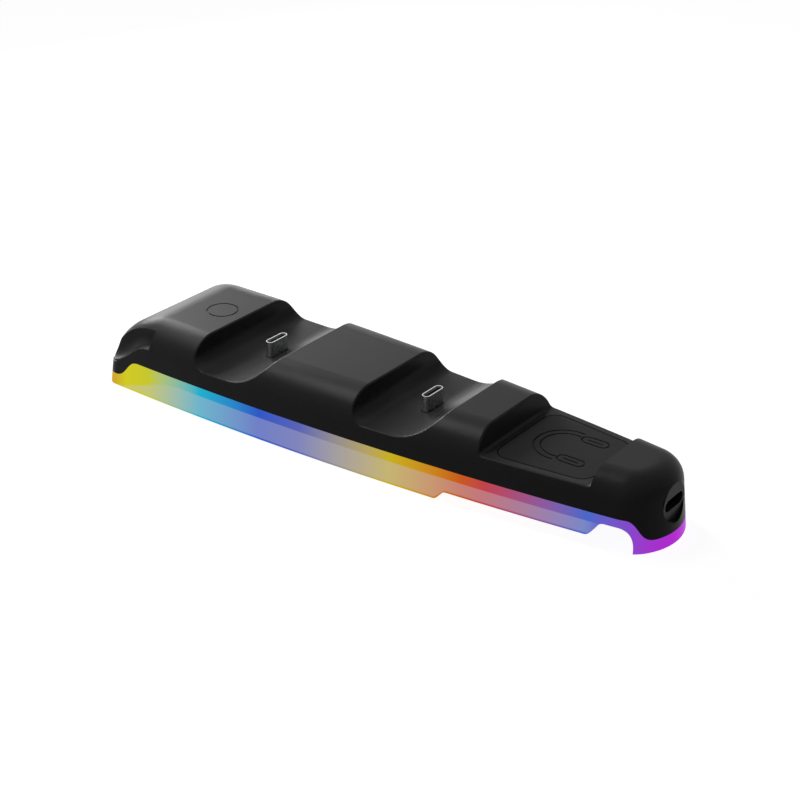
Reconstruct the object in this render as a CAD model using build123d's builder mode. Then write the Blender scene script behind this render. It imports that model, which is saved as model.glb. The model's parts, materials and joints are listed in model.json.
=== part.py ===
"""Charging dock for two hand controllers, with a headset tray and a light skirt.

Sizes are in millimetres. +X points along the dock to its power inlet, +Z is up, and Z = 0 is the table.
The outline is symmetrical about the XZ plane, and X = 0 is half way along the dock.
"""
import os
from math import asin, cos, degrees, radians, sqrt, tan

from build123d import *
from OCP.BRepFilletAPI import BRepFilletAPI_MakeFillet

os.makedirs("parts", exist_ok=True)

# Plan of the dock at the table; the shares are of its length or half width
LENGTH = 187.8
HALF_WIDTH = 25.4
WIDEST_GAP = 3.0
SIDE_SHARE = 0.7173
END_RADIUS_SHARE = 0.709
RIGHT_CORNER = 11.5
LEFT_CORNER = 4.2
WALL_DRAFT = 6.0

# Levels above the table
RIM_Z = 0.4
SEAM_Z = 9.75
LEFT_SEAM_Z = 4.0
RIGHT_SEAM_Z = 3.8
TRAY_Z = 16.5
HUMP_Z = 20.9
MOUND_Z = 23.0

# Moulded housing
SHELL_WALL = 2.2
SHOULDER_RADIUS = 10.0
LEFT_ROUNDING = 17.5
LEFT_FOOT_RADIUS = 5.2
HUMP_ROUNDING = 7.4
RIM_RADIUS = 0.6
MARK_EDGE_GAP = 3.6
MARK_RADIUS = 5.0
MARK_LINE = 0.5
MARK_DEPTH = 0.3

# The seam between housing and skirt sweeps down at both ends
LEFT_SWEEP_GAP = 4.5
LEFT_SWEEP_LENGTH = 9.5
RIGHT_SWEEP_GAP = 1.9
RIGHT_SWEEP_LENGTH = 6.9

# Lip and scoop at the two left corners
LIP_LOW_Z = 7.7
LIP_HIGH_Z = 15.6
LIP_GAP = 2.4
LIP_LENGTH = 16.5
SCOOP_RADIUS = 4.0
SCOOP_OUT = 0.2

# Cradles
PLUG_PITCH_SHARE = 0.31
PLUG_MIDDLE_SHARE = -0.0812
CRADLE_LEFT = 13.2
CRADLE_RIGHT = 14.4
CRADLE_FLOOR_Z = 14.9
CRADLE_CORNER = 4.5
CRADLE_LEAN = 0.6

# Headset tray and pad
HUMP_LENGTH = 19.15
TRAY_LENGTH = 32.5
TRAY_LEAN = 1.3
TRAY_CORNER = 1.0
PAD_MARGIN = 1.9
PAD_THICKNESS = 1.4
PAD_CORNER = 4.5
PAD_GAP = 0.35
ICON_BACK = 0.9
ICON_Y = 1.0
ICON_RADIUS = 8.8
ICON_BAND = 1.9
ICON_LINE = 0.45
ICON_DEPTH = 0.35
ICON_BAND_END = 0.3
CUP_AHEAD = 4.8
CUP_SPREAD = 6.3
CUP_LENGTH = 8.6
CUP_WIDTH = 3.8

# Light skirt
SKIRT_WALL = 2.0
FLANGE = 1.2
FLANGE_LAP = 2.4
STEP_SHARE = 0.1571
STEP_LENGTH = 4.0
STEP_Z = 3.1
ARCH_GAP = 6.0
ARCH_RISE_LENGTH = 5.3
ARCH_TOP_LENGTH = 3.5
ARCH_FALL_LENGTH = 4.6
ARCH_Z = 7.4

# Base plate
PLATE = 1.4
PLATE_RECESS = 0.4
PLATE_GAP = 0.3
FLANK_WALL = 1.2
POST_COUNT = 5
POST_LENGTH = 3.0
POST_DEPTH = 1.6
POST_INSET = 4.2
PEDESTAL_SHARES = (-0.373, -0.224, -0.021, 0.133)
PEDESTAL_LENGTH = 4.0
PEDESTAL_DEPTH = 1.6

# Standing plugs
PLUG_LONG = 8.34
PLUG_SHORT = 2.56
PLUG_TIP_Z = 19.8
PLUG_SHEET = 0.3
PLUG_SEAT = 0.6
INSERT_DROP = 0.35
CONTACT_LONG = 6.7
CONTACT_SHORT = 0.8
CONTACT_DEPTH = 5.0
WINDOW_GAP = 0.3
HOLDER_LONG = 12.6
HOLDER_SHORT = 7.0
HOLDER_CORNER = 1.0
HOLDER_GAP = 0.1

# Power inlet
INLET_LONG = 8.94
INLET_SHORT = 3.2
INLET_SHEET = 0.3
INLET_LENGTH = 7.0
INLET_RECESS = 1.0
INLET_GAP = 0.15
INLET_BOSS_RADIUS = 5.5
INLET_BOSS_LENGTH = 4.9
INLET_FACE_INSET = 2.0
TONGUE_LONG = 6.6
TONGUE_SHORT = 0.7
TONGUE_DROP = 0.9
TONGUE_ROOT = 1.2

# Boards and what they carry
BOARD = 1.2
BOARD_Z = 6.4
BOARD_START_SHARE = -0.309
BOARD_END_SHARE = 0.2556
BOARD_CLEAR = 2.2
INLET_BOARD_LENGTH = 19.0
INLET_BOARD_LAP = 2.1
INLET_BOARD_HALF_WIDTH = 5.6
RIBBON = 0.3
RIBBON_CLEAR = 1.5
RIBBON_LAP = 4.0
RIBBON_LEVEL = 3.0
CHARGE_CHIP = 6.0
LIGHT_CHIP = 5.0
CHIP_HEIGHT = 1.0
PART_PITCH = 7.5
INDUCTOR = 7.0
INDUCTOR_HEIGHT = 3.6
INDUCTOR_CORNER = 1.2
CAPACITOR_PITCH = 3.4
CAPACITOR_LONG = 2.6
CAPACITOR_SHORT = 1.6
CAPACITOR_HEIGHT = 1.4

# Light strips
STRIP_LEFT_GAP = 19.9
STRIP_RIGHT_GAP = 25.9
STRIP_INSET = 6.0
STRIP = 0.6
STRIP_HEIGHT = 3.6
STRIP_MARGIN = 5.0
LED_LENGTH = 3.0
LED_DEPTH = 0.8
LED_HEIGHT = 1.6
LED_COUNT = 13

# Fasteners and feet
SCREW_EDGE_GAP = 9.5
CUP_CLEAR = 0.35
BOSS_RADIUS = 3.0
CUP_RADIUS = 3.4
CUP_HEIGHT = 3.4
SINK_RADIUS = 2.2
SINK_DEPTH = 2.0
HEAD_RADIUS = 1.9
HEAD_HEIGHT = 1.2
SHANK_RADIUS = 0.85
SCREW_GAP = 0.05
SCREW_HOLE_RADIUS = 1.15
CASE_SCREW_LENGTH = 7.0
BOARD_SCREW_LEFT = 5.0
BOARD_SCREW_RIGHT = 10.0
STANDOFF_RADIUS = 2.4
BOARD_SCREW_LENGTH = 3.2
BOARD_HEAD_HEIGHT = 1.0
FOOT_RADIUS = 4.5
FOOT_CLEAR = 0.4
FOOT_LEFT_GAP = 15.9
FOOT_STEP_GAP = 9.5
NOSE_FOOT_GAP = 3.9
NOSE_FOOT_LENGTH = 1.8
NOSE_FOOT_WIDTH = 9.0

# Places along the dock
SIDE_RADIUS = SIDE_SHARE * LENGTH**2 / HALF_WIDTH
LEFT_X = -LENGTH / 2
RIGHT_X = LENGTH / 2
PLUG_PITCH = PLUG_PITCH_SHARE * LENGTH
PLUG_MIDDLE_X = PLUG_MIDDLE_SHARE * LENGTH
PLUG_XS = {"left": PLUG_MIDDLE_X - PLUG_PITCH / 2, "right": PLUG_MIDDLE_X + PLUG_PITCH / 2}
LEFT_CRADLE_X = PLUG_XS["left"] - CRADLE_LEFT
WIDEST_X = LEFT_CRADLE_X - WIDEST_GAP
MARK_X = LEFT_CRADLE_X - MARK_EDGE_GAP - MARK_RADIUS
HUMP_X = RIGHT_X - HUMP_LENGTH
TRAY_START_X = HUMP_X - TRAY_LENGTH
TRAY_MIDDLE_X = HUMP_X - TRAY_LENGTH / 2
MOUND_END_X = TRAY_START_X - TRAY_LEAN
ICON_X = TRAY_MIDDLE_X - ICON_BACK
LEFT_SWEEP_X = LEFT_X + LEFT_SWEEP_GAP
RIGHT_SWEEP_X = RIGHT_X - RIGHT_SWEEP_GAP - RIGHT_SWEEP_LENGTH
LIP_START_X = LEFT_X + LIP_GAP
LIP_END_X = LIP_START_X + LIP_LENGTH
STEP_START_X = STEP_SHARE * LENGTH
STEP_END_X = STEP_START_X + STEP_LENGTH
ARCH_END_X = RIGHT_X - ARCH_GAP
CROWN_END_X = ARCH_END_X - ARCH_FALL_LENGTH
CROWN_START_X = CROWN_END_X - ARCH_TOP_LENGTH
ARCH_START_X = CROWN_START_X - ARCH_RISE_LENGTH
STRIP_START_X = LEFT_X + STRIP_LEFT_GAP
STRIP_END_X = RIGHT_X - STRIP_RIGHT_GAP
BOARD_START_X = BOARD_START_SHARE * LENGTH
BOARD_END_X = BOARD_END_SHARE * LENGTH
INLET_FACE_X = RIGHT_X - INLET_FACE_INSET
INLET_FRONT_X = INLET_FACE_X - INLET_RECESS
INLET_BACK_X = INLET_FRONT_X - INLET_LENGTH
INLET_FLOOR_X = INLET_BACK_X + INLET_SHEET
INLET_BOARD_END_X = INLET_BACK_X + INLET_BOARD_LAP
INLET_BOARD_START_X = INLET_BOARD_END_X - INLET_BOARD_LENGTH
LIGHT_CHIP_X = (PLUG_XS["right"] + BOARD_END_X) / 2

# Heights inside the dock
PLATE_Z = RIM_Z + PLATE_RECESS
RAISED_Z = STEP_Z + PLATE_RECESS
RAISED_TOP = RAISED_Z + PLATE
ROOF_TOP = ARCH_Z + PLATE
FLANGE_Z = SEAM_Z - FLANGE
BOARD_TOP = BOARD_Z + BOARD
HOLDER_TOP = CRADLE_FLOOR_Z - SHELL_WALL - HOLDER_GAP
PLUG_FOOT_Z = BOARD_TOP + PLUG_SEAT
INSERT_TOP = PLUG_TIP_Z - INSERT_DROP
INLET_BOARD_TOP = ROOF_TOP + BOARD
INLET_Z = INLET_BOARD_TOP + INLET_SHORT / 2

REACH = LENGTH
EDGE = 0.1
SIDES = (1, -1)


def lean(z):
    """How far the drafted wall has leaned in at height z."""
    return z * tan(radians(WALL_DRAFT))


def half_width(x, inset=0.0):
    """Half the dock's width at x, on the long arc of its side drawn in by inset."""
    return HALF_WIDTH - inset - SIDE_RADIUS + sqrt(SIDE_RADIUS**2 - (x - WIDEST_X) ** 2)


def side_turn(x):
    """How far the side arc has turned from the length of the dock at x, in degrees."""
    return degrees(asin((x - WIDEST_X) / SIDE_RADIUS))


def side_arc(start_x, end_x, inset, side):
    """The long arc of one side between two places along the dock."""
    xs = (start_x, (start_x + end_x) / 2, end_x)
    return ThreePointArc(*((x, side * half_width(x, inset)) for x in xs))


def plan_face(inset):
    """Plan of the dock drawn in by inset: bowed sides, a straight left end and a round right end."""
    left_x = LEFT_X + inset
    right_x = RIGHT_X - inset
    end_radius = END_RADIUS_SHARE * HALF_WIDTH - inset
    corner_x = right_x - end_radius / 2
    for _ in range(30):
        corner_y = half_width(corner_x, inset)
        corner_x = right_x - end_radius + sqrt(end_radius**2 - corner_y**2)
    left_y = half_width(left_x, inset)
    with BuildSketch() as plan:
        with BuildLine():
            side_arc(left_x, corner_x, inset, -1)
            ThreePointArc((corner_x, -corner_y), (right_x, 0), (corner_x, corner_y))
            side_arc(corner_x, left_x, inset, 1)
            Line((left_x, left_y), (left_x, -left_y))
        make_face()
        fillet(plan.vertices().group_by(Axis.X)[-1], RIGHT_CORNER - inset)
    return plan.sketch


def strip_face(start_x, end_x, near, far):
    """Plan of a strip that follows the front side between two insets."""
    with BuildSketch() as plan:
        with BuildLine():
            side_arc(start_x, end_x, near, -1)
            Line((end_x, -half_width(end_x, near)), (end_x, -half_width(end_x, far)))
            side_arc(end_x, start_x, far, -1)
            Line((start_x, -half_width(start_x, far)), (start_x, -half_width(start_x, near)))
        make_face()
    return plan.sketch


def pad_face(inset):
    """Plan of the headset pad's place in the tray, drawn in by inset."""
    rounding = SHOULDER_RADIUS - sqrt(SHOULDER_RADIUS**2 - (TRAY_Z - MOUND_Z + SHOULDER_RADIUS) ** 2)
    side_inset = lean(TRAY_Z) + rounding + PAD_MARGIN + inset
    start_x = TRAY_START_X + PAD_MARGIN + inset
    end_x = HUMP_X - PAD_MARGIN - inset
    with BuildSketch() as plan:
        with BuildLine():
            side_arc(start_x, end_x, side_inset, -1)
            Line((end_x, -half_width(end_x, side_inset)), (end_x, half_width(end_x, side_inset)))
            side_arc(end_x, start_x, side_inset, 1)
            Line((start_x, half_width(start_x, side_inset)), (start_x, -half_width(start_x, side_inset)))
        make_face()
        fillet(plan.vertices(), PAD_CORNER - inset)
    return plan.sketch


def ring_face(radius, line):
    """A ring of a given outer radius and line width."""
    with BuildSketch() as ring:
        Circle(radius)
        Circle(radius - line, mode=Mode.SUBTRACT)
    return ring.sketch


def icon_face():
    """Plain line drawing of a headset: an open double band and two ear cups."""
    with BuildSketch() as icon:
        with Locations((ICON_X, ICON_Y)):
            add(ring_face(ICON_RADIUS, ICON_LINE))
            add(ring_face(ICON_RADIUS - ICON_BAND, ICON_LINE))
        with Locations((TRAY_MIDDLE_X + ICON_BAND_END, ICON_Y)):
            Rectangle(REACH, REACH, align=(Align.MIN, Align.CENTER), mode=Mode.SUBTRACT)
        with Locations(*((TRAY_MIDDLE_X + CUP_AHEAD, ICON_Y + side * CUP_SPREAD) for side in SIDES)):
            SlotOverall(CUP_LENGTH, CUP_WIDTH)
            SlotOverall(CUP_LENGTH - 2 * ICON_LINE, CUP_WIDTH - 2 * ICON_LINE, mode=Mode.SUBTRACT)
            Rectangle(CUP_LENGTH - CUP_WIDTH, ICON_LINE)
    return icon.sketch


def s_curve(start, end):
    """Smooth step between two points that leaves and arrives level."""
    middle = (start[0] + end[0]) / 2
    return Bezier(start, (middle, start[1]), (middle, end[1]), end)


def below_seam(lift=0.0):
    """Side view of everything below the seam between housing and skirt, raised by lift."""
    left_foot = (LEFT_SWEEP_X, LEFT_SEAM_Z + lift)
    left_rise = (LEFT_SWEEP_X + LEFT_SWEEP_LENGTH, SEAM_Z + lift)
    right_rise = (RIGHT_SWEEP_X, SEAM_Z + lift)
    right_foot = (RIGHT_SWEEP_X + RIGHT_SWEEP_LENGTH, RIGHT_SEAM_Z + lift)
    with BuildSketch() as region:
        with BuildLine():
            Polyline((-REACH, -REACH), (-REACH, left_foot[1]), left_foot)
            s_curve(left_foot, left_rise)
            Line(left_rise, right_rise)
            s_curve(right_rise, right_foot)
            Polyline(right_foot, (REACH, right_foot[1]), (REACH, -REACH), (-REACH, -REACH))
        make_face()
    return region.sketch


def below_lip():
    """Side view of everything below the lip that runs round the left end."""
    low, high = (LIP_START_X, LIP_LOW_Z), (LIP_END_X, LIP_HIGH_Z)
    with BuildSketch() as region:
        with BuildLine():
            Polyline((-REACH, -REACH), (-REACH, LIP_LOW_Z), low)
            s_curve(low, high)
            Polyline(high, (LIP_END_X, -REACH), (-REACH, -REACH))
        make_face()
    return region.sketch


def underside(lift=0.0, arch_lift=0.0, spread=0.0):
    """Side view of the space below the dock: flat, a step up, and an arch for the lead."""
    low, raised, arch = RIM_Z + lift, STEP_Z + lift, ARCH_Z + arch_lift
    spring_x = ARCH_START_X - spread
    foot_x = ARCH_END_X + spread
    with BuildSketch() as region:
        with BuildLine():
            Polyline((-REACH, -REACH), (-REACH, low), (STEP_START_X, low))
            s_curve((STEP_START_X, low), (STEP_END_X, raised))
            Line((STEP_END_X, raised), (spring_x, raised))
            s_curve((spring_x, raised), (CROWN_START_X, arch))
            Line((CROWN_START_X, arch), (CROWN_END_X, arch))
            Bezier((CROWN_END_X, arch), (foot_x, arch), (foot_x, low))
            Polyline((foot_x, low), (REACH, low), (REACH, -REACH), (-REACH, -REACH))
        make_face()
    return region.sketch


def across(face):
    """A side view carried right across the dock."""
    with BuildPart() as band:
        with BuildSketch(Plane.XZ):
            add(face)
        extrude(amount=REACH, both=True)
    return band.part


def upright(face, base_z, top_z):
    """A plan view raised between two heights."""
    with BuildPart() as prism:
        with BuildSketch(Plane.XY.offset(base_z)):
            add(face)
        extrude(amount=top_z - base_z)
    return prism.part


def rods(spots, radius, base_z, top_z):
    """Upright round rods at every spot and its mirror place."""
    with BuildPart() as pins:
        with BuildSketch(Plane.XY.offset(base_z)):
            with Locations(*((x, side * y) for x, y in spots for side in SIDES)):
                Circle(radius)
        extrude(amount=top_z - base_z)
    return pins.part


def block(x, y, size_x, size_y, base_z, top_z, turn=0.0):
    """An upright box on its plan centre."""
    with BuildPart() as box:
        with BuildSketch(Plane.XY.offset(base_z)):
            with Locations((x, y)):
                Rectangle(size_x, size_y, rotation=turn)
        extrude(amount=top_z - base_z)
    return box.part


def side_blocks(xs, inset, size_x, size_y, base_z, top_z):
    """Boxes along the front side, each turned with it, and the same along the rear."""
    with BuildPart() as row:
        for x in xs:
            add(block(x, -half_width(x, inset), size_x, size_y, base_z, top_z, side_turn(x)))
        mirror(about=Plane.XZ)
    return row.part


def lengthwise(face, z, start_x, end_x):
    """A face drawn across the dock and carried along it, centred at height z."""
    with BuildPart() as bar:
        with BuildSketch(Plane.YZ.offset(start_x)):
            with Locations((0, z)):
                add(face)
        extrude(amount=end_x - start_x)
    return bar.part


def slot_face(long, short, x=0.0, turn=0.0):
    """A slot with round ends, on its centre at x."""
    with BuildSketch() as slot:
        with Locations((x, 0)):
            SlotOverall(long, short, rotation=turn)
    return slot.sketch


def disc_face(radius):
    """A plain disc."""
    with BuildSketch() as disc:
        Circle(radius)
    return disc.sketch


def screw_y(x):
    """Place across the dock of a screw that stands just inside the light strip at x."""
    return half_width(x, STRIP_INSET + STRIP + CUP_CLEAR + CUP_RADIUS)


def plate_z(x):
    """Underside of the base plate at x."""
    return PLATE_Z if x < STEP_START_X else RAISED_Z


def cradle_face(plug_x):
    """Side view of one cradle: a steep wall on the left and a long round slope on the right."""
    left, right, over = plug_x - CRADLE_LEFT, plug_x + CRADLE_RIGHT, MOUND_Z + SHELL_WALL
    wall_foot = (left + CRADLE_LEAN, CRADLE_FLOOR_Z)
    floor_end = (plug_x, CRADLE_FLOOR_Z)
    with BuildSketch() as profile:
        with BuildLine():
            FilletPolyline((left, over), wall_foot, floor_end, radius=CRADLE_CORNER)
            TangentArc(floor_end, (right, MOUND_Z), tangent=(1, 0))
            Polyline((right, MOUND_Z), (right, over), (left, over))
        make_face()
    return profile.sketch


def tray_face(floor_z):
    """Side view of the tray between the right mound and the end hump."""
    over = MOUND_Z + SHELL_WALL
    lean_on = TRAY_LEAN * SHELL_WALL / (MOUND_Z - TRAY_Z)
    mound_top, hump_top = (MOUND_END_X - lean_on, over), (HUMP_X, over)
    floor = ((TRAY_START_X, floor_z), (HUMP_X, floor_z))
    with BuildSketch() as profile:
        with BuildLine():
            FilletPolyline(mound_top, *floor, hump_top, radius=TRAY_CORNER)
            Line(hump_top, mound_top)
        make_face()
    return profile.sketch


def recesses(wall, floor_z):
    """Cradles and tray as one cutting solid across the dock, grown by a wall where that is given."""
    with BuildPart() as cutter:
        for face in (*(cradle_face(x) for x in PLUG_XS.values()), tray_face(floor_z)):
            with BuildSketch(Plane.XZ):
                add(face)
                if wall:
                    offset(amount=wall)
            extrude(amount=REACH, both=True)
    return cutter.part


def scoops(radius, run_on):
    """Round hollows swept along the lip at both left corners."""
    line_y = half_width(LIP_END_X, lean(LIP_HIGH_Z)) + SCOOP_OUT
    first = (LIP_START_X - SCOOP_RADIUS, LIP_LOW_Z + SCOOP_RADIUS)
    last = (LIP_END_X, LIP_HIGH_Z + SCOOP_RADIUS)
    with BuildPart() as cutter:
        with BuildLine(Plane.XZ.offset(line_y)) as path:
            s_curve(first, last)
            if run_on:
                Line(last, (last[0] + run_on, last[1]))
        with BuildSketch(Plane(origin=path.line @ 0, z_dir=path.line % 0)):
            Circle(radius)
        sweep()
        mirror(about=Plane.XZ)
    return cutter.part


def drafted_block(wall, top_z):
    """The dock's plan raised from the rim to top_z, drawn in by wall, with the walls leaning in."""
    with BuildPart() as solid:
        for z in (RIM_Z, top_z):
            with BuildSketch(Plane.XY.offset(z)):
                add(plan_face(wall + lean(z)))
        loft(ruled=True)
    return solid.part


def rounded_shoulders(blank, foot_radius, top_radius):
    """Rounds both shoulders, with a radius that shrinks down the left corners to foot_radius."""
    sides = blank.faces().sort_by(Axis.Y)
    edges = sides[0].edges() + sides[-1].edges()
    rounding = BRepFilletAPI_MakeFillet(blank.wrapped)
    for edge in edges:
        high = edge.center().Z > RIM_Z + EDGE and edge.center().X < HUMP_X - EDGE
        if high and not rounding.Contour(edge.wrapped):
            rounding.Add(edge.wrapped)
    for chain in range(1, rounding.NbContours() + 1):
        corner, bend, top = 1, 2, 3
        radii = (foot_radius, top_radius)
        if Edge(rounding.Edge(chain, corner)).center().Z > Edge(rounding.Edge(chain, top)).center().Z:
            corner, top = top, corner
            radii = (top_radius, foot_radius)
        rounding.SetRadius(foot_radius, chain, corner)
        rounding.SetRadius(*radii, chain, bend)
        rounding.SetRadius(top_radius, chain, top)
    return Part(rounding.Shape())


def body_form(wall):
    """Form of the dock from its left end to the hump, drawn in by a wall."""
    with BuildPart() as blank:
        add(drafted_block(wall, MOUND_Z - wall))
        fillet(blank.edges().group_by(Axis.Z)[-1].sort_by(Axis.X)[0], LEFT_ROUNDING - wall)
        with Locations((HUMP_X, 0, 0)):
            Box(REACH, REACH, REACH, align=(Align.MIN, Align.CENTER, Align.CENTER), mode=Mode.SUBTRACT)
    return rounded_shoulders(blank.part, LEFT_FOOT_RADIUS - wall, SHOULDER_RADIUS - wall)


def hump_form(wall):
    """Form of the lower hump at the right end, drawn in by a wall."""
    with BuildPart() as hump:
        add(drafted_block(wall, MOUND_Z - wall))
        with Locations((HUMP_X, 0, 0)):
            Box(REACH, REACH, REACH, align=(Align.MAX, Align.CENTER, Align.CENTER), mode=Mode.SUBTRACT)
        with Locations((0, 0, HUMP_Z - wall)):
            Box(2 * REACH, REACH, REACH, align=(Align.CENTER, Align.CENTER, Align.MIN), mode=Mode.SUBTRACT)
        crown = hump.edges().group_by(Axis.Z)[-1].filter_by(lambda edge: edge.center().X > HUMP_X + EDGE)
        fillet(crown, HUMP_ROUNDING - wall)
    return hump.part


def rim_edges(part):
    """Edges where the cradles and the tray come out through the housing's outer face."""
    cut_faces = [
        face
        for face in part.faces()
        if abs(face.normal_at(face.center(CenterOf.GEOMETRY)).Y) < EDGE
        and LEFT_CRADLE_X - EDGE < face.center().X < HUMP_X - EDGE
        and CRADLE_FLOOR_Z - EDGE < face.center().Z < MOUND_Z - EDGE
    ]
    edges = [edge for face in cut_faces for edge in face.edges()]
    return [edge for edge in edges if edges.count(edge) == 1 and edge.center().X < HUMP_X - EDGE]


CASE_SCREWS = [(x, screw_y(x)) for x in (LEFT_CRADLE_X - SCREW_EDGE_GAP, TRAY_MIDDLE_X)]
BOARD_SCREWS = ((BOARD_START_X + BOARD_SCREW_LEFT, 0), (BOARD_END_X - BOARD_SCREW_RIGHT, 0))
BOARD_HALF_WIDTH = half_width(BOARD_END_X, STRIP_INSET + STRIP + BOARD_CLEAR)
RIBBON_WIDTH = 2 * (screw_y(TRAY_MIDDLE_X) - BOSS_RADIUS - RIBBON_CLEAR)

# The foot of the dock, with the tight left corners that the lip and the skirt share
with BuildPart() as foot_form:
    add(drafted_block(0, MOUND_Z))
    left_edges = foot_form.edges().filter_by(lambda edge: edge.center().X < LEFT_X + LEFT_CORNER)
    fillet(left_edges.filter_by(lambda edge: edge.bounding_box().size.Z > LEFT_CORNER), LEFT_CORNER)

# Room inside the housing, with the screw bosses left standing
with BuildPart() as cavity:
    add(body_form(SHELL_WALL))
    add(hump_form(SHELL_WALL))
    add(recesses(SHELL_WALL, TRAY_Z - PAD_THICKNESS), mode=Mode.SUBTRACT)
    add(scoops(SCOOP_RADIUS + SHELL_WALL, SHELL_WALL), mode=Mode.SUBTRACT)
    add(rods(CASE_SCREWS, BOSS_RADIUS, RIM_Z, MOUND_Z), mode=Mode.SUBTRACT)

# Upper housing
with BuildPart() as top_shell:
    add(foot_form.part)
    add(across(below_lip()), mode=Mode.INTERSECT)
    add(body_form(0))
    add(scoops(SCOOP_RADIUS, 0), mode=Mode.SUBTRACT)
    add(recesses(0, TRAY_Z), mode=Mode.SUBTRACT)
    fillet(rim_edges(top_shell.part), RIM_RADIUS)
    add(hump_form(0))
    add(cavity.part, mode=Mode.SUBTRACT)
    boss_face = disc_face(INLET_BOSS_RADIUS)
    add(lengthwise(boss_face, INLET_Z, INLET_FACE_X - INLET_BOSS_LENGTH, INLET_FACE_X))
    add(lengthwise(boss_face, INLET_Z, INLET_FACE_X, RIGHT_X), mode=Mode.SUBTRACT)
    inlet_hole = slot_face(INLET_LONG + 2 * INLET_GAP, INLET_SHORT + 2 * INLET_GAP)
    add(lengthwise(inlet_hole, INLET_Z, INLET_BACK_X, RIGHT_X), mode=Mode.SUBTRACT)
    add(across(below_seam()), mode=Mode.SUBTRACT)
    for spot in CASE_SCREWS:
        boss_z = plate_z(spot[0]) + CUP_HEIGHT
        add(rods((spot,), BOSS_RADIUS, boss_z, SEAM_Z + EDGE))
        pilot_top = boss_z + CASE_SCREW_LENGTH
        add(rods((spot,), SHANK_RADIUS + SCREW_GAP, boss_z, pilot_top), mode=Mode.SUBTRACT)
    for plug_x in PLUG_XS.values():
        window = slot_face(PLUG_LONG + 2 * WINDOW_GAP, PLUG_SHORT + 2 * WINDOW_GAP, plug_x, 90)
        add(upright(window, HOLDER_TOP, MOUND_Z), mode=Mode.SUBTRACT)
    add(upright(pad_face(0), TRAY_Z - PAD_THICKNESS, TRAY_Z + EDGE), mode=Mode.SUBTRACT)
    with BuildSketch(Plane.XY.offset(MOUND_Z)):
        with Locations((MARK_X, 0)):
            add(ring_face(MARK_RADIUS, MARK_LINE))
    extrude(amount=-MARK_DEPTH, mode=Mode.SUBTRACT)
top_shell.part.label = "top_shell"
export_step(top_shell.part, "parts/top_shell.step")

# Light skirt, with the flange that the housing stands on
with BuildPart() as skirt_room:
    add(drafted_block(SKIRT_WALL, MOUND_Z))
    add(across(below_seam(-FLANGE)), mode=Mode.INTERSECT)
    add(drafted_block(SKIRT_WALL + FLANGE_LAP, MOUND_Z))
with BuildPart() as light_skirt:
    add(foot_form.part)
    add(across(below_seam()), mode=Mode.INTERSECT)
    add(across(underside()), mode=Mode.SUBTRACT)
    add(skirt_room.part, mode=Mode.SUBTRACT)
light_skirt.part.label = "light_skirt"
export_step(light_skirt.part, "parts/light_skirt.step")

# Headset pad
with BuildPart() as headset_pad:
    add(upright(pad_face(PAD_GAP), TRAY_Z - PAD_THICKNESS, TRAY_Z))
    add(upright(icon_face(), TRAY_Z - ICON_DEPTH, TRAY_Z), mode=Mode.SUBTRACT)
headset_pad.part.label = "headset_pad"
export_step(headset_pad.part, "parts/headset_pad.step")

# Standing plugs and their holders
for side_name, plug_x in PLUG_XS.items():
    outer = slot_face(PLUG_LONG, PLUG_SHORT, plug_x, 90)
    inner = slot_face(PLUG_LONG - 2 * PLUG_SHEET, PLUG_SHORT - 2 * PLUG_SHEET, plug_x, 90)
    contact = slot_face(CONTACT_LONG, CONTACT_SHORT, plug_x, 90)
    with BuildPart() as plug_shell:
        add(upright(outer, PLUG_FOOT_Z, PLUG_TIP_Z))
        add(upright(inner, PLUG_FOOT_Z, PLUG_TIP_Z), mode=Mode.SUBTRACT)
    plug_shell.part.label = f"{side_name}_plug_shell"
    export_step(plug_shell.part, f"parts/{side_name}_plug_shell.step")
    with BuildPart() as plug_insert:
        add(upright(inner, PLUG_FOOT_Z, INSERT_TOP))
        add(upright(contact, INSERT_TOP - CONTACT_DEPTH, INSERT_TOP), mode=Mode.SUBTRACT)
    plug_insert.part.label = f"{side_name}_plug_insert"
    export_step(plug_insert.part, f"parts/{side_name}_plug_insert.step")
    with BuildPart() as plug_holder:
        with BuildSketch(Plane.XY.offset(BOARD_TOP)):
            with Locations((plug_x, 0)):
                RectangleRounded(HOLDER_SHORT, HOLDER_LONG, HOLDER_CORNER)
        extrude(amount=HOLDER_TOP - BOARD_TOP)
        add(upright(outer, PLUG_FOOT_Z, HOLDER_TOP), mode=Mode.SUBTRACT)
    plug_holder.part.label = f"{side_name}_plug_holder"
    export_step(plug_holder.part, f"parts/{side_name}_plug_holder.step")

# Power inlet
inlet_room = slot_face(INLET_LONG - 2 * INLET_SHEET, INLET_SHORT - 2 * INLET_SHEET)
with BuildPart() as inlet_shell:
    add(lengthwise(slot_face(INLET_LONG, INLET_SHORT), INLET_Z, INLET_BACK_X, INLET_FRONT_X))
    add(lengthwise(inlet_room, INLET_Z, INLET_FLOOR_X, INLET_FRONT_X), mode=Mode.SUBTRACT)
inlet_shell.part.label = "inlet_shell"
export_step(inlet_shell.part, "parts/inlet_shell.step")
with BuildPart() as inlet_tongue:
    add(lengthwise(inlet_room, INLET_Z, INLET_FLOOR_X, INLET_FLOOR_X + TONGUE_ROOT))
    tongue = slot_face(TONGUE_LONG, TONGUE_SHORT)
    add(lengthwise(tongue, INLET_Z, INLET_FLOOR_X, INLET_FRONT_X - TONGUE_DROP))
inlet_tongue.part.label = "inlet_tongue"
export_step(inlet_tongue.part, "parts/inlet_tongue.step")

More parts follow.
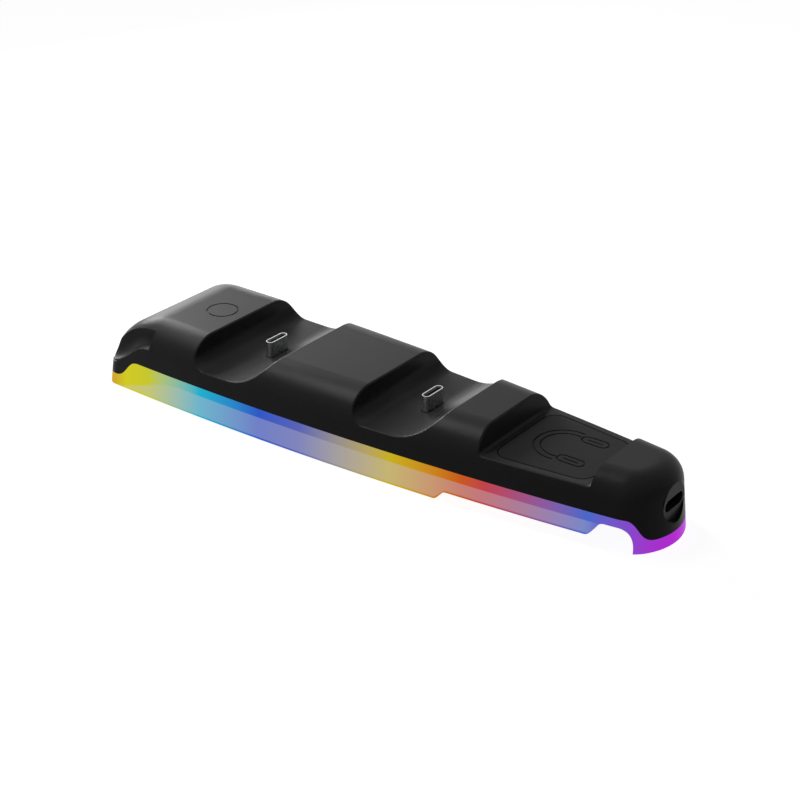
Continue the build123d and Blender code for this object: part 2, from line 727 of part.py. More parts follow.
# Base plate: inside the skirt where it is low, inside the flange opening where it is high
with BuildPart() as plate_room:
    add(drafted_block(SKIRT_WALL + PLATE_GAP, MOUND_Z))
    with BuildSketch(Plane.XZ):
        with BuildLine():
            high = FLANGE_Z - PLATE_GAP
            low = RIGHT_SEAM_Z - FLANGE - PLATE_GAP
            inner_edge = ((-REACH, high), (CROWN_START_X, high), (CROWN_START_X, low), (REACH, low))
            Polyline(*inner_edge, (REACH, REACH), (-REACH, REACH), close=True)
        make_face()
    extrude(amount=REACH, both=True, mode=Mode.SUBTRACT)
    add(drafted_block(SKIRT_WALL + FLANGE_LAP + PLATE_GAP, MOUND_Z))
with BuildPart() as base_plate:
    add(across(underside(PLATE_RECESS + PLATE, PLATE, FLANK_WALL)))
    add(plate_room.part, mode=Mode.INTERSECT)
    post_pitch = (STRIP_END_X - STRIP_START_X - 2 * STRIP_MARGIN) / (POST_COUNT - 1)
    post_xs = [STRIP_START_X + STRIP_MARGIN + place * post_pitch for place in range(POST_COUNT)]
    add(side_blocks(post_xs, POST_INSET, POST_LENGTH, POST_DEPTH, PLATE_Z, FLANGE_Z))
    pedestal_inset = STRIP_INSET + STRIP / 2
    pedestal_xs = [share * LENGTH for share in PEDESTAL_SHARES]
    add(side_blocks(pedestal_xs, pedestal_inset, PEDESTAL_LENGTH, PEDESTAL_DEPTH, PLATE_Z, RAISED_TOP))
    add(across(underside(PLATE_RECESS)), mode=Mode.SUBTRACT)
    for spot in BOARD_SCREWS:
        add(rods((spot,), STANDOFF_RADIUS, plate_z(spot[0]) + PLATE / 2, BOARD_Z))
        pilot_z = BOARD_TOP - BOARD_SCREW_LENGTH
        add(rods((spot,), SHANK_RADIUS + SCREW_GAP, pilot_z, BOARD_Z), mode=Mode.SUBTRACT)
    for spot in CASE_SCREWS:
        cup_z = plate_z(spot[0])
        add(rods((spot,), CUP_RADIUS, cup_z, cup_z + CUP_HEIGHT))
        add(rods((spot,), SINK_RADIUS, cup_z, cup_z + SINK_DEPTH), mode=Mode.SUBTRACT)
        add(rods((spot,), SCREW_HOLE_RADIUS, cup_z, cup_z + CUP_HEIGHT), mode=Mode.SUBTRACT)
base_plate.part.label = "base_plate"
export_step(base_plate.part, "parts/base_plate.step")

# Boards and the flat lead between them
with BuildPart() as main_board:
    board_middle = (BOARD_START_X + BOARD_END_X) / 2
    add(block(board_middle, 0, BOARD_END_X - BOARD_START_X, 2 * BOARD_HALF_WIDTH, BOARD_Z, BOARD_TOP))
    add(rods(BOARD_SCREWS, SCREW_HOLE_RADIUS, BOARD_Z, BOARD_TOP), mode=Mode.SUBTRACT)
main_board.part.label = "main_board"
export_step(main_board.part, "parts/main_board.step")
with BuildPart() as inlet_board:
    board_middle = INLET_BOARD_END_X - INLET_BOARD_LENGTH / 2
    add(block(board_middle, 0, INLET_BOARD_LENGTH, 2 * INLET_BOARD_HALF_WIDTH, ROOF_TOP, INLET_BOARD_TOP))
inlet_board.part.label = "inlet_board"
export_step(inlet_board.part, "parts/inlet_board.step")
with BuildPart() as power_ribbon:
    with BuildSketch(Plane.XZ):
        with BuildLine():
            low_end = (BOARD_END_X - RIBBON_LAP, BOARD_TOP)
            low_bend = (BOARD_END_X + RIBBON_LEVEL, BOARD_TOP)
            high_bend = (INLET_BOARD_START_X - RIBBON_LEVEL, INLET_BOARD_TOP)
            high_end = (INLET_BOARD_START_X + RIBBON_LAP, INLET_BOARD_TOP)
            lower = (low_end, low_bend, high_bend, high_end)
            Polyline(*lower, *((x, z + RIBBON) for x, z in reversed(lower)), close=True)
        make_face()
    extrude(amount=RIBBON_WIDTH / 2, both=True)
power_ribbon.part.label = "power_ribbon"
export_step(power_ribbon.part, "parts/power_ribbon.step")

# Parts on the main board
with BuildPart() as charge_chip:
    add(block(PLUG_MIDDLE_X - PART_PITCH, 0, CHARGE_CHIP, CHARGE_CHIP, BOARD_TOP, BOARD_TOP + CHIP_HEIGHT))
charge_chip.part.label = "charge_chip"
export_step(charge_chip.part, "parts/charge_chip.step")
with BuildPart() as light_chip:
    add(block(LIGHT_CHIP_X, 0, LIGHT_CHIP, LIGHT_CHIP, BOARD_TOP, BOARD_TOP + CHIP_HEIGHT))
light_chip.part.label = "light_chip"
export_step(light_chip.part, "parts/light_chip.step")
with BuildPart() as power_inductor:
    with BuildSketch(Plane.XY.offset(BOARD_TOP)):
        with Locations((PLUG_MIDDLE_X + PART_PITCH, 0)):
            RectangleRounded(INDUCTOR, INDUCTOR, INDUCTOR_CORNER)
    extrude(amount=INDUCTOR_HEIGHT)
power_inductor.part.label = "power_inductor"
export_step(power_inductor.part, "parts/power_inductor.step")
with BuildPart() as board_capacitors:
    capacitor_top = BOARD_TOP + CAPACITOR_HEIGHT
    for row in (-1, 0, 1):
        y = row * CAPACITOR_PITCH
        add(block(PLUG_MIDDLE_X, y, CAPACITOR_SHORT, CAPACITOR_LONG, BOARD_TOP, capacitor_top))
board_capacitors.part.label = "board_capacitors"
export_step(board_capacitors.part, "parts/board_capacitors.step")

# Light strips and their lamps
strip_top = RAISED_TOP + STRIP_HEIGHT
lamp_z = RAISED_TOP + (STRIP_HEIGHT - LED_HEIGHT) / 2
lamp_pitch = (STRIP_END_X - STRIP_START_X - 2 * STRIP_MARGIN) / (LED_COUNT - 1)
lamp_xs = [STRIP_START_X + STRIP_MARGIN + place * lamp_pitch for place in range(LED_COUNT)]
with BuildPart() as front_led_strip:
    strip_plan = strip_face(STRIP_START_X, STRIP_END_X, STRIP_INSET, STRIP_INSET + STRIP)
    add(upright(strip_plan, RAISED_TOP, strip_top))
with BuildPart() as front_leds:
    for x in lamp_xs:
        lamp_y = -half_width(x, STRIP_INSET) - LED_DEPTH / 2 / cos(radians(side_turn(x)))
        add(block(x, lamp_y, LED_LENGTH, LED_DEPTH, lamp_z, lamp_z + LED_HEIGHT, side_turn(x)))
with BuildPart() as rear_led_strip:
    mirror(front_led_strip.part, about=Plane.XZ)
with BuildPart() as rear_leds:
    mirror(front_leds.part, about=Plane.XZ)
front_led_strip.part.label = "front_led_strip"
front_leds.part.label = "front_leds"
rear_led_strip.part.label = "rear_led_strip"
rear_leds.part.label = "rear_leds"
export_step(front_led_strip.part, "parts/front_led_strip.step")
export_step(front_leds.part, "parts/front_leds.step")
export_step(rear_led_strip.part, "parts/rear_led_strip.step")
export_step(rear_leds.part, "parts/rear_leds.step")

# Fasteners
with BuildPart() as board_screws:
    add(rods(BOARD_SCREWS, HEAD_RADIUS, BOARD_TOP, BOARD_TOP + BOARD_HEAD_HEIGHT))
    add(rods(BOARD_SCREWS, SHANK_RADIUS, BOARD_TOP - BOARD_SCREW_LENGTH, BOARD_TOP))
board_screws.part.label = "board_screws"
export_step(board_screws.part, "parts/board_screws.step")
with BuildPart() as case_screws:
    for spot in CASE_SCREWS:
        seat_z = plate_z(spot[0]) + SINK_DEPTH
        add(rods((spot,), HEAD_RADIUS, seat_z - HEAD_HEIGHT, seat_z))
        add(rods((spot,), SHANK_RADIUS, seat_z, seat_z + CASE_SCREW_LENGTH))
case_screws.part.label = "case_screws"
export_step(case_screws.part, "parts/case_screws.step")

# Feet
with BuildPart() as rubber_feet:
    foot_inset = SKIRT_WALL + PLATE_GAP + lean(PLATE_Z) + FOOT_RADIUS + FOOT_CLEAR
    foot_xs = (LEFT_X + FOOT_LEFT_GAP, STEP_START_X - FOOT_STEP_GAP)
    add(rods([(x, half_width(x, foot_inset)) for x in foot_xs], FOOT_RADIUS, 0, PLATE_Z))
    add(block(RIGHT_X - NOSE_FOOT_GAP, 0, NOSE_FOOT_LENGTH, NOSE_FOOT_WIDTH, 0, PLATE_Z))
rubber_feet.part.label = "rubber_feet"
export_step(rubber_feet.part, "parts/rubber_feet.step")
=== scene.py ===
# %% [markdown]
# A charging dock for two hand controllers: a matt black moulded housing on a translucent skirt that glows
# in all colours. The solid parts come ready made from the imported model, with their sizes and smooth
# normals, so this lesson is about light, finishes and the few pieces that are too fine for the solids.

# %% Load the frame
import json
import math

import bpy
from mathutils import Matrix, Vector

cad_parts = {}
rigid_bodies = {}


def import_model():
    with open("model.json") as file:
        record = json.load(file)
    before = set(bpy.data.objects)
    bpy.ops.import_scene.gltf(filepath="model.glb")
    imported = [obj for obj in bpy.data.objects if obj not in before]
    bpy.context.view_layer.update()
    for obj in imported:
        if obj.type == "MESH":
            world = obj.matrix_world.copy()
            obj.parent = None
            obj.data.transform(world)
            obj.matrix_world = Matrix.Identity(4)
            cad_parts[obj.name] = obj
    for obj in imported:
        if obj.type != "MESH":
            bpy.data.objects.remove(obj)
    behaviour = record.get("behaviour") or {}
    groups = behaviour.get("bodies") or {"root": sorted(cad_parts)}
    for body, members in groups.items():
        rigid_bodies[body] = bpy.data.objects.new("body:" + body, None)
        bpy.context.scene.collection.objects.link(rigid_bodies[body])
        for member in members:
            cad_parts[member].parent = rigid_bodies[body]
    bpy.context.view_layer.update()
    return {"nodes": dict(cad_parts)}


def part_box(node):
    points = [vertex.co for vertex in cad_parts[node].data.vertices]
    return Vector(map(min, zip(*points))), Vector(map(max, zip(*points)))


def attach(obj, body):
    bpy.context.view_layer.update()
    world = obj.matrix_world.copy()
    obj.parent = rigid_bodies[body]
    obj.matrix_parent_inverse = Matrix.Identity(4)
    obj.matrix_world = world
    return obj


for leftover in list(bpy.data.objects):
    bpy.data.objects.remove(leftover)
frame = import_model()
nodes = frame["nodes"]

# %% [markdown]
# The photograph was taken with a long lens from the front right, about 27 degrees above the table. A
# camera could be aimed with a constraint at an empty, but two angles and a place say the same thing in
# three lines, and nothing else in the scene then depends on a helper object.

# %% Camera
MM = 0.001
VIEW_TURN = 37.24
VIEW_HEIGHT = 27.43
EYE = Vector((265.45, -346.2, 239.0)) * MM
LENS = 76.5
SENSOR = 36.0
turn, height = math.radians(VIEW_TURN), math.radians(VIEW_HEIGHT)
level_reach = math.cos(height)
towards_eye = Vector((math.sin(turn) * level_reach, -math.cos(turn) * level_reach, math.sin(height)))
camera = bpy.data.objects.new("camera", bpy.data.cameras.new("camera"))
camera.data.lens = LENS
camera.data.sensor_width = SENSOR
camera.location = EYE
camera.rotation_euler = (-towards_eye).to_track_quat("-Z", "Y").to_euler()
bpy.context.scene.collection.objects.link(camera)
bpy.context.scene.camera = camera
print("camera at", [round(c, 3) for c in EYE])

# %% [markdown]
# Every finish below is a small net of shader nodes. Two helpers keep them short: one turns a colour
# written as sRGB hex into the linear light that the renderer works with, and one adds a node, sets its
# values and links its inputs in a single call.

# %% Helpers for finishes


def linear(hex_colour):
    """The linear RGBA of an sRGB colour such as #1a2b3c."""
    parts = [int(hex_colour[place:place + 2], 16) / 255 for place in (1, 3, 5)]
    return tuple(c / 12.92 if c <= 0.04045 else ((c + 0.055) / 1.055) ** 2.4 for c in parts) + (1.0,)


def node(tree, kind, inputs=(), **settings):
    """Adds a node, with its settings, and its inputs as values or as links from other sockets."""
    made = tree.nodes.new(kind)
    for name, value in settings.items():
        setattr(made, name, value)
    for key, value in dict(inputs).items():
        if isinstance(value, bpy.types.NodeSocket):
            tree.links.new(value, made.inputs[key])
        else:
            made.inputs[key].default_value = value
    return made


def finish_tree(name, **values):
    """A new material with one Principled shader whose plain values are set on its own sockets."""
    material = bpy.data.materials.new(name)
    material.use_nodes = True
    tree = material.node_tree
    shader = tree.nodes["Principled BSDF"]
    for socket, value in values.items():
        shader.inputs[socket.replace("_", " ")].default_value = value
    return material, tree, shader


print("helpers ready")

# %% [markdown]
# The dock stands on white paper under a white sky. Strong lamps could burn a grey floor white, but they
# would wash out the black housing too. So the paper and the sky show white only to the camera, to mirrors
# and through clear bodies, by the Light Path node. To all other rays the paper is mid grey and the sky
# nearly dark, so little light comes back up the sides, and the paper still takes a shadow. It lies a hair
# under the feet, because two faces in one plane would flicker.

# %% Floor and sky
FLOOR_SIZE = 6.0
HAIR = 0.05 * MM
PAPER_GREY = "#808080"
WHITE = "#ffffff"
FLOOR_GLOW = 0.955
SKY_LEVEL = 0.036


def seen_directly(tree):
    """One for rays from the camera, a mirror or a clear body, and nought for the rest."""
    path = node(tree, "ShaderNodeLightPath").outputs
    shiny = node(tree, "ShaderNodeMath", {0: path["Is Camera Ray"], 1: path["Is Glossy Ray"]},
                 operation="MAXIMUM").outputs[0]
    return node(tree, "ShaderNodeMath", {0: shiny, 1: path["Is Transmission Ray"]},
                operation="MAXIMUM").outputs[0]


floor_mesh = bpy.data.meshes.new("floor")
half = FLOOR_SIZE / 2
corners = [(-half, -half, -HAIR), (half, -half, -HAIR), (half, half, -HAIR), (-half, half, -HAIR)]
floor_mesh.from_pydata(corners, [], [(0, 1, 2, 3)])
floor = bpy.data.objects.new("floor", floor_mesh)
bpy.context.scene.collection.objects.link(floor)
# Uncoated paper: white to the eye and quite without gloss
paper, tree, shader = finish_tree("white_paper_sweep", Roughness=0.9, Specular_IOR_Level=0.0)
shader.inputs["Base Color"].default_value = linear(PAPER_GREY)
shader.inputs["Emission Color"].default_value = linear(WHITE)
glow = node(tree, "ShaderNodeMath", {0: seen_directly(tree), 1: FLOOR_GLOW}, operation="MULTIPLY")
tree.links.new(glow.outputs[0], shader.inputs["Emission Strength"])
floor_mesh.materials.append(paper)

sky = bpy.data.worlds.new("studio_sky")
sky.use_nodes = True
bpy.context.scene.world = sky
level = node(sky.node_tree, "ShaderNodeMapRange",
             {"Value": seen_directly(sky.node_tree), "To Min": SKY_LEVEL, "To Max": 1.0})
background = sky.node_tree.nodes["Background"]
background.inputs["Color"].default_value = linear(WHITE)
sky.node_tree.links.new(level.outputs[0], background.inputs["Strength"])
bpy.context.scene.view_settings.view_transform = "Standard"
print("floor", FLOOR_SIZE, "m, sky level", SKY_LEVEL)

# %% [markdown]
# Light falls on the dock from the left, bright on the near end and weaker towards the hump. A sun would
# light both ends alike, so two small soft boxes stand close on the left, where distance alone makes the
# light fall off. Black plastic also shows a sheen along its roundings. Two more lamps give only that: they
# are hidden from matt shading, so they add a gleam without making the black grey.

# %% Lamps
# Each row: name, place in metres, width in metres, power in watts, and whether matt surfaces see it
LAMPS = (
    ("near_left_soft_box", (-0.34, 0.12, 0.18), 0.14, 1.26, True),
    ("overhead_left_soft_box", (-0.24, -0.06, 0.52), 0.20, 0.78, True),
    ("back_left_sheen", (-0.60, 0.54, 0.06), 0.30, 0.9, False),
    ("shoulder_sheen", (-0.24, -0.16, 0.48), 0.24, 1.9, False),
)
for name, place, size, power, lights_matt in LAMPS:
    lamp = bpy.data.objects.new(name, bpy.data.lights.new(name, "AREA"))
    lamp.data.size = size
    lamp.data.energy = power
    lamp.location = place
    lamp.rotation_euler = (-Vector(place)).to_track_quat("-Z", "Y").to_euler()
    lamp.visible_diffuse = lights_matt
    bpy.context.scene.collection.objects.link(lamp)
print("lamps", [row[0] for row in LAMPS])

# %% [markdown]
# The housing is injection moulded ABS from a spark eroded mould: near black, matt, with a grain of about
# a third of a millimetre that breaks up the highlights. A noise texture on Object coordinates gives the
# grain as bump, and a second, far wider noise lets the gloss wander a little, as handled plastic does.

# %% Finish of the housing
BUMP_HEIGHT = 0.02 * MM
TONE_MM = 14
GLOSS_MM = 22
GLOSS_SWING = 0.05


def per_mm(size_mm):
    """The scale of a texture whose features are about this many millimetres wide."""
    return 1 / (size_mm * MM)


def grain(tree, shader, size_mm, strength, height=BUMP_HEIGHT):
    """Fine bump on Object coordinates, as a mould, a blast or a wipe leaves it."""
    place = node(tree, "ShaderNodeTexCoord").outputs["Object"]
    noise = node(tree, "ShaderNodeTexNoise", {"Vector": place, "Scale": per_mm(size_mm), "Detail": 3.0})
    bump = node(tree, "ShaderNodeBump",
                {"Height": noise.outputs[0], "Strength": strength, "Distance": height})
    tree.links.new(bump.outputs["Normal"], shader.inputs["Normal"])
    return place


def wander(tree, socket, place, size_mm, low, high):
    """Lets a socket wander between two values or colours over a wide noise."""
    noise = node(tree, "ShaderNodeTexNoise", {"Vector": place, "Scale": per_mm(size_mm), "Detail": 2.0})
    share = noise.outputs[0]
    if isinstance(low, tuple):
        mix = node(tree, "ShaderNodeMix", {"Factor": share, "A": low, "B": high}, data_type="RGBA")
        tree.links.new(mix.outputs["Result"], socket)
    else:
        ramp = node(tree, "ShaderNodeMapRange", {"Value": share, "To Min": low, "To Max": high})
        tree.links.new(ramp.outputs[0], socket)


def moulded(name, dark, light, rough, grain_mm, strength, **values):
    """A moulded plastic or rubber: two close tones, a wandering gloss and a fine grain."""
    material, tree, shader = finish_tree(name, **values)
    place = grain(tree, shader, grain_mm, strength)
    wander(tree, shader.inputs["Base Color"], place, TONE_MM, linear(dark), linear(light))
    wander(tree, shader.inputs["Roughness"], place, GLOSS_MM, rough - GLOSS_SWING, rough + GLOSS_SWING)
    return material


# Moulded ABS: near black, a broad soft sheen and a fine even grain
shell_finish = moulded("black_moulded_ABS", "#3a3a3b", "#3f3f40", 0.36, 0.45, 0.3, Specular_IOR_Level=0.05)
# Moulded silicone: a shade greyer and drier than the housing it lies in
pad_finish = moulded("black_silicone_pad", "#39393a", "#3e3e3f", 0.5, 0.6, 0.35, Specular_IOR_Level=0.03)
print("finishes", shell_finish.name, pad_finish.name)

# %% [markdown]
# The skirt is translucent polycarbonate with a row of small lamps behind it. Seen from outside, its upper
# band and its lower edge are full of colour, and the face between them is paler, because there the lamps
# shine straight through a thicker diffuser. Real lamps behind a scattering solid would give this, but
# slowly and with noise. Here the surface itself glows, at a strength of 1, so each colour shows as it is
# written. The colours run along the dock: a colour ramp over the Object X axis gives them, and the pale
# face is a mask from the height over the table.

# %% Finish of the skirt
# Places along the dock in millimetres, with the colour there
RAINBOW = (
    (-94.0, "#c88418"), (-85.0, "#d0c812"), (-75.0, "#c4c522"), (-54.0, "#12aeca"), (-31.0, "#2854c4"),
    (-16.0, "#5661b4"), (-4.0, "#908a90"), (15.0, "#c6ae11"), (28.0, "#c98612"), (38.0, "#c75610"),
    (45.0, "#c04046"), (57.0, "#9e5082"), (75.0, "#4666c6"), (86.0, "#8048c8"), (94.0, "#b01ccc"),
)
PALE = "#c0bfc8"
PALE_SHARE = 0.27
# Height of the band's lower line, and half the width over which it blurs
BAND_LOW = 7.1
BAND_EDGE = 0.12
# At the left end the line comes down from its height to the last value here, between the two places
LEFT_FADE = (-92.0, -62.0, 0.4)
# The pale face ends between these places, before the arch
RIGHT_FADE = (74.0, 80.0)
# The lower edge steps up between the two places, from the third value to the fourth
FOOT_STEP = (29.5, 33.5, 0.4, 3.1)
FOOT_LINE = 0.55
SKIRT_GLOW = 1.0
SKIRT_BODY = "#38383c"

# Translucent polycarbonate, lit from behind: the colour glows, with a thin gloss over it
skirt_finish, tree, shader = finish_tree("lit_polycarbonate", Roughness=0.34, Specular_IOR_Level=0.03,
                                         Emission_Strength=SKIRT_GLOW)
axes = node(tree, "ShaderNodeSeparateXYZ", {0: grain(tree, shader, 0.8, 0.15)}).outputs
first_x, last_x = RAINBOW[0][0], RAINBOW[-1][0]
along = node(tree, "ShaderNodeMapRange",
             {"Value": axes["X"], "From Min": first_x * MM, "From Max": last_x * MM})
rainbow = node(tree, "ShaderNodeValToRGB", {"Fac": along.outputs[0]})
stops = rainbow.color_ramp.elements
while len(stops) < len(RAINBOW):
    stops.new(0.5)
for stop, (x, colour) in zip(stops, RAINBOW):
    stop.position = (x - first_x) / (last_x - first_x)
    stop.color = linear(colour)


def over(tree, value, low, high, out_low=0.0, out_high=1.0):
    """Rises smoothly from one value to another as the measure goes from low to high, in millimetres."""
    return node(tree, "ShaderNodeMapRange",
                {"Value": value, "From Min": low * MM, "From Max": high * MM,
                 "To Min": out_low, "To Max": out_high},
                interpolation_type="SMOOTHSTEP").outputs[0]


def both(tree, first, second, operation="MULTIPLY"):
    """Joins two values by a sum, a product or another operation."""
    return node(tree, "ShaderNodeMath", {0: first, 1: second}, operation=operation).outputs[0]


band_start = over(tree, axes["X"], LEFT_FADE[0], LEFT_FADE[1], LEFT_FADE[2] * MM, BAND_LOW * MM)
below_band = over(tree, both(tree, band_start, axes["Z"], "SUBTRACT"), -BAND_EDGE, BAND_EDGE)
foot = over(tree, axes["X"], FOOT_STEP[0], FOOT_STEP[1], FOOT_STEP[2] * MM, FOOT_STEP[3] * MM)
above_foot = over(tree, both(tree, axes["Z"], foot, "SUBTRACT"),
                  FOOT_LINE - BAND_EDGE, FOOT_LINE + BAND_EDGE)
left_of_arch = over(tree, axes["X"], RIGHT_FADE[0], RIGHT_FADE[1], PALE_SHARE, 0.0)
pale_share = both(tree, both(tree, below_band, above_foot), left_of_arch)
tint = node(tree, "ShaderNodeMix", {"Factor": pale_share, "A": rainbow.outputs["Color"], "B": linear(PALE)},
            data_type="RGBA")
shader.inputs["Base Color"].default_value = linear(SKIRT_BODY)
tree.links.new(tint.outputs["Result"], shader.inputs["Emission Color"])
print("skirt colours", len(RAINBOW))

# %% [markdown]
# The two plugs are deep drawn steel collars, plated with nickel, round a black carrier. The inlet is plated
# dark, and this dark also paints the shade inside its slot. Plating mirrors its surroundings, so the collars
# look dark in the dark cradles and bright at their tips. A grey paint could fake that for one view only. A
# metal shader does it for all, and only a fine drawing grain breaks the mirror.

# %% Finishes of plugs and inlet
METAL_TONE_MM = 3
METAL_GLOSS_MM = 4
METAL_SWING = 0.06


def plated(name, dark, light, rough, grain_mm, strength):
    """A plated metal: two close tones and a gloss that wanders with the drawing grain."""
    material, tree, shader = finish_tree(name, Metallic=1.0)
    place = grain(tree, shader, grain_mm, strength, BUMP_HEIGHT / 4)
    wander(tree, shader.inputs["Base Color"], place, METAL_TONE_MM, linear(dark), linear(light))
    wander(tree, shader.inputs["Roughness"], place, METAL_GLOSS_MM, rough - METAL_SWING, rough + METAL_SWING)
    return material


# Nickel plated steel: a cool grey mirror, softened by the drawing
collar_finish = plated("nickel_plated_steel", "#c4c6c8", "#d3d4d5", 0.27, 0.4, 0.2)
# Black nickel: a dark mirror for the inlet, and its dark also paints the shade inside the slot
inlet_finish_with_painted_slot_shade = plated("black_nickel_with_painted_slot_shade", "#17181a", "#1f2022", 0.34, 0.4, 0.2)
# Gold plated bronze: warm and bright on the contact fingers
finger_finish = plated("gold_plated_bronze", "#c79a45", "#dab25a", 0.24, 0.3, 0.1)
# Zinc plated steel: the duller grey of screws
screw_finish = plated("zinc_plated_steel", "#8d9094", "#a6a8aa", 0.38, 0.3, 0.3)
# Glass filled polymer: the black of contact carriers, dry and even
carrier_finish = moulded("black_glass_filled_polymer", "#0d0d0e", "#131314", 0.5, 0.25, 0.2,
                         Specular_IOR_Level=0.3)
print("metals", collar_finish.name, inlet_finish_with_painted_slot_shade.name, finger_finish.name, screw_finish.name)

# %% [markdown]
# Inside the dock everything keeps the finish it has on a workbench: green solder mask, tan ceramic, grey
# ferrite, charcoal epoxy, an amber polyimide lead. One plain grey would do for this view, but a part is
# also looked at with its housing taken off, so each gets its own two tones and grain.

# %% Finishes inside and below
# Moulded ABS of the base: the same black as the housing, left drier by a coarser mould
base_finish = moulded("black_base_ABS", "#131415", "#19191b", 0.58, 0.7, 0.5, Specular_IOR_Level=0.2)
# Solder mask over glass cloth: a deep green gloss with the cloth showing faintly
board_finish = moulded("green_solder_mask", "#0f4a2c", "#14583a", 0.35, 0.5, 0.25, Specular_IOR_Level=0.45)
# Polyimide film: amber and smooth
lead_finish = moulded("amber_polyimide", "#9a5a16", "#b26c1f", 0.3, 0.8, 0.1, Specular_IOR_Level=0.5)
# Moulded epoxy: the dry charcoal of chips
chip_finish = moulded("charcoal_epoxy", "#1c1c1e", "#242426", 0.62, 0.2, 0.3, Specular_IOR_Level=0.35)
# Sintered ferrite: a dull dark grey
choke_finish = moulded("grey_ferrite", "#3a3b3d", "#47484a", 0.66, 0.3, 0.5, Specular_IOR_Level=0.4)
# Fired ceramic: the tan of small capacitors
ceramic_finish = moulded("tan_ceramic", "#8d7650", "#9d8660", 0.45, 0.2, 0.2, Specular_IOR_Level=0.5)
# Clear silicone over phosphor: milky and slightly yellow
lamp_finish = moulded("milky_lamp_silicone", "#e2dfc8", "#eeebd8", 0.3, 0.3, 0.1, Specular_IOR_Level=0.5)
# Moulded rubber: dark grey and quite without gloss
foot_finish = moulded("grey_foot_rubber", "#26272a", "#2f3033", 0.8, 0.5, 0.5, Specular_IOR_Level=0.25)

FINISHES = {
    shell_finish: ("top_shell",),
    skirt_finish: ("light_skirt",),
    pad_finish: ("headset_pad",),
    collar_finish: ("left_plug_shell", "right_plug_shell"),
    inlet_finish_with_painted_slot_shade: ("inlet_shell",),
    carrier_finish: ("left_plug_insert", "right_plug_insert", "inlet_tongue", "left_plug_holder",
                     "right_plug_holder"),
    base_finish: ("base_plate",),
    board_finish: ("main_board", "inlet_board", "front_led_strip", "rear_led_strip"),
    lead_finish: ("power_ribbon",),
    chip_finish: ("charge_chip", "light_chip"),
    choke_finish: ("power_inductor",),
    ceramic_finish: ("board_capacitors",),
    lamp_finish: ("front_leds", "rear_leds"),
    screw_finish: ("board_screws", "case_screws"),
    foot_finish: ("rubber_feet",),
}
for finish, names in FINISHES.items():
    for name in names:
        slots = nodes[name].material_slots
        if not slots:
            nodes[name].data.materials.append(finish)
        for slot in slots:
            slot.material = finish
dressed = {name for names in FINISHES.values() for name in names}
print("dressed", len(dressed), "of", len(nodes), "nodes, left", sorted(set(nodes) - dressed))

# %% [markdown]
# Each plug has a slot with two facing rows of contact fingers. They repeat, so Geometry Nodes make them:
# a line of points carries one small box, two such lines make a plug, and a second line of points carries
# the plug. The tree ends in real geometry with its material, because instances are lost in an export.

# %% Contact fingers
FINGER_COUNT = 10
FINGER_PITCH = 0.6 * MM
FINGER_SIZE = (0.12 * MM, 0.3 * MM, 3.8 * MM)
FINGER_SPREAD = 0.36 * MM
FINGER_TOP_DROP = 1.0 * MM
left_low, left_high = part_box("left_plug_insert")
right_low, right_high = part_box("right_plug_insert")
left_middle, right_middle = (left_low + left_high) / 2, (right_low + right_high) / 2
plug_pitch = right_middle.x - left_middle.x

fingers = bpy.data.node_groups.new("contact_fingers", "GeometryNodeTree")
fingers.interface.new_socket("Geometry", in_out="INPUT", socket_type="NodeSocketGeometry")
fingers.interface.new_socket("Geometry", in_out="OUTPUT", socket_type="NodeSocketGeometry")
SIZES = (
    ("Count", "NodeSocketInt", FINGER_COUNT), ("Finger pitch", "NodeSocketVector", (0, FINGER_PITCH, 0)),
    ("First finger", "NodeSocketVector", (0, -FINGER_PITCH * (FINGER_COUNT - 1) / 2, 0)),
    ("Finger size", "NodeSocketVector", FINGER_SIZE), ("Spread", "NodeSocketVector", (FINGER_SPREAD, 0, 0)),
    ("First plug", "NodeSocketVector", (left_middle.x, left_middle.y,
                                        left_high.z - FINGER_TOP_DROP - FINGER_SIZE[2] / 2)),
    ("Plug pitch", "NodeSocketVector", (plug_pitch, 0, 0)), ("Finish", "NodeSocketMaterial", finger_finish),
)
for name, kind, value in SIZES:
    fingers.interface.new_socket(name, in_out="INPUT", socket_type=kind)
given = node(fingers, "NodeGroupInput").outputs
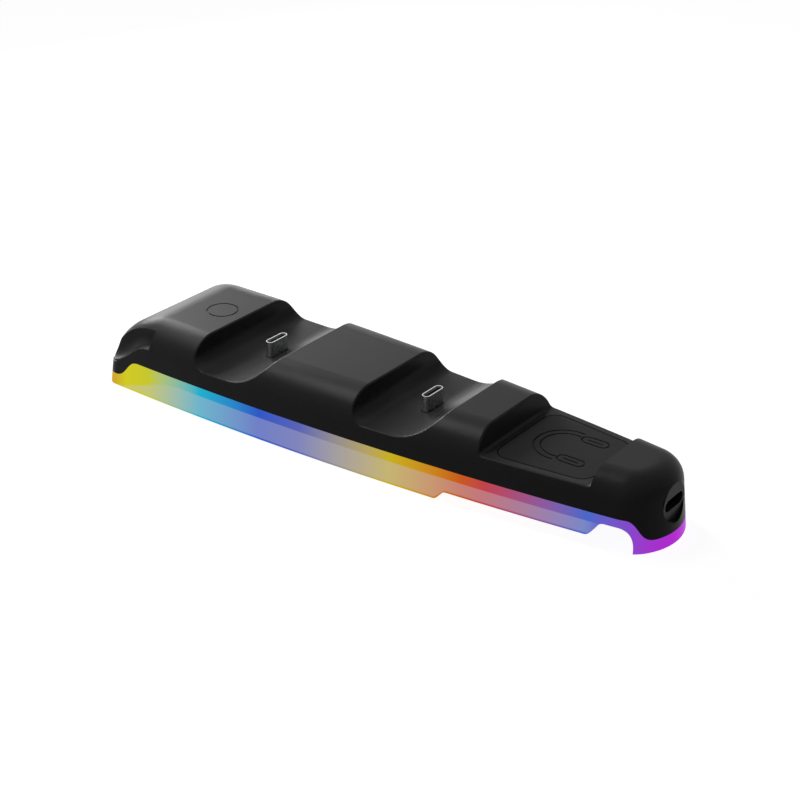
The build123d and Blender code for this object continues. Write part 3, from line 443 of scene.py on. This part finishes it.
box = node(fingers, "GeometryNodeMeshCube", {"Size": given["Finger size"]})
row_points = node(fingers, "GeometryNodeMeshLine",
                  {"Count": given["Count"], "Start Location": given["First finger"],
                   "Offset": given["Finger pitch"]})
row = node(fingers, "GeometryNodeInstanceOnPoints",
           {"Points": row_points.outputs[0], "Instance": box.outputs[0]})
back = node(fingers, "ShaderNodeVectorMath", {0: given["Spread"], "Scale": -1.0}, operation="SCALE")
near = node(fingers, "GeometryNodeTransform", {"Geometry": row.outputs[0], "Translation": given["Spread"]})
far = node(fingers, "GeometryNodeTransform", {"Geometry": row.outputs[0], "Translation": back.outputs[0]})
rows = node(fingers, "GeometryNodeJoinGeometry", {0: near.outputs[0]})
fingers.links.new(far.outputs[0], rows.inputs[0])
plug_points = node(fingers, "GeometryNodeMeshLine", {"Count": 2, "Start Location": given["First plug"],
                                                     "Offset": given["Plug pitch"]})
plugs = node(fingers, "GeometryNodeInstanceOnPoints", {"Points": plug_points.outputs[0],
                                                       "Instance": rows.outputs[0]})
solid = node(fingers, "GeometryNodeRealizeInstances", {0: plugs.outputs[0]})
coloured = node(fingers, "GeometryNodeSetMaterial",
                {"Geometry": solid.outputs[0], "Material": given["Finish"]})
node(fingers, "NodeGroupOutput", {0: coloured.outputs[0]})


def grown(name, tree, sizes):
    """The plain mesh that a Geometry Nodes tree makes with these sizes, as a piece of the dock."""
    seed = bpy.data.objects.new(name, bpy.data.meshes.new(name))
    bpy.context.scene.collection.objects.link(seed)
    modifier = seed.modifiers.new("sizes", "NODES")
    modifier.node_group = tree
    sockets = {item.name: item.identifier for item in tree.interface.items_tree if item.in_out == "INPUT"}
    for size_name, _, value in sizes:
        modifier[sockets[size_name]] = value
    evaluated = seed.evaluated_get(bpy.context.evaluated_depsgraph_get())
    mesh = bpy.data.meshes.new_from_object(evaluated)
    seed.modifiers.remove(modifier)
    seed.data = mesh
    return seed


contacts = grown("plug_contact_fingers", fingers, SIZES)
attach(contacts, "root")
print("contact fingers", len(contacts.data.polygons), "faces")
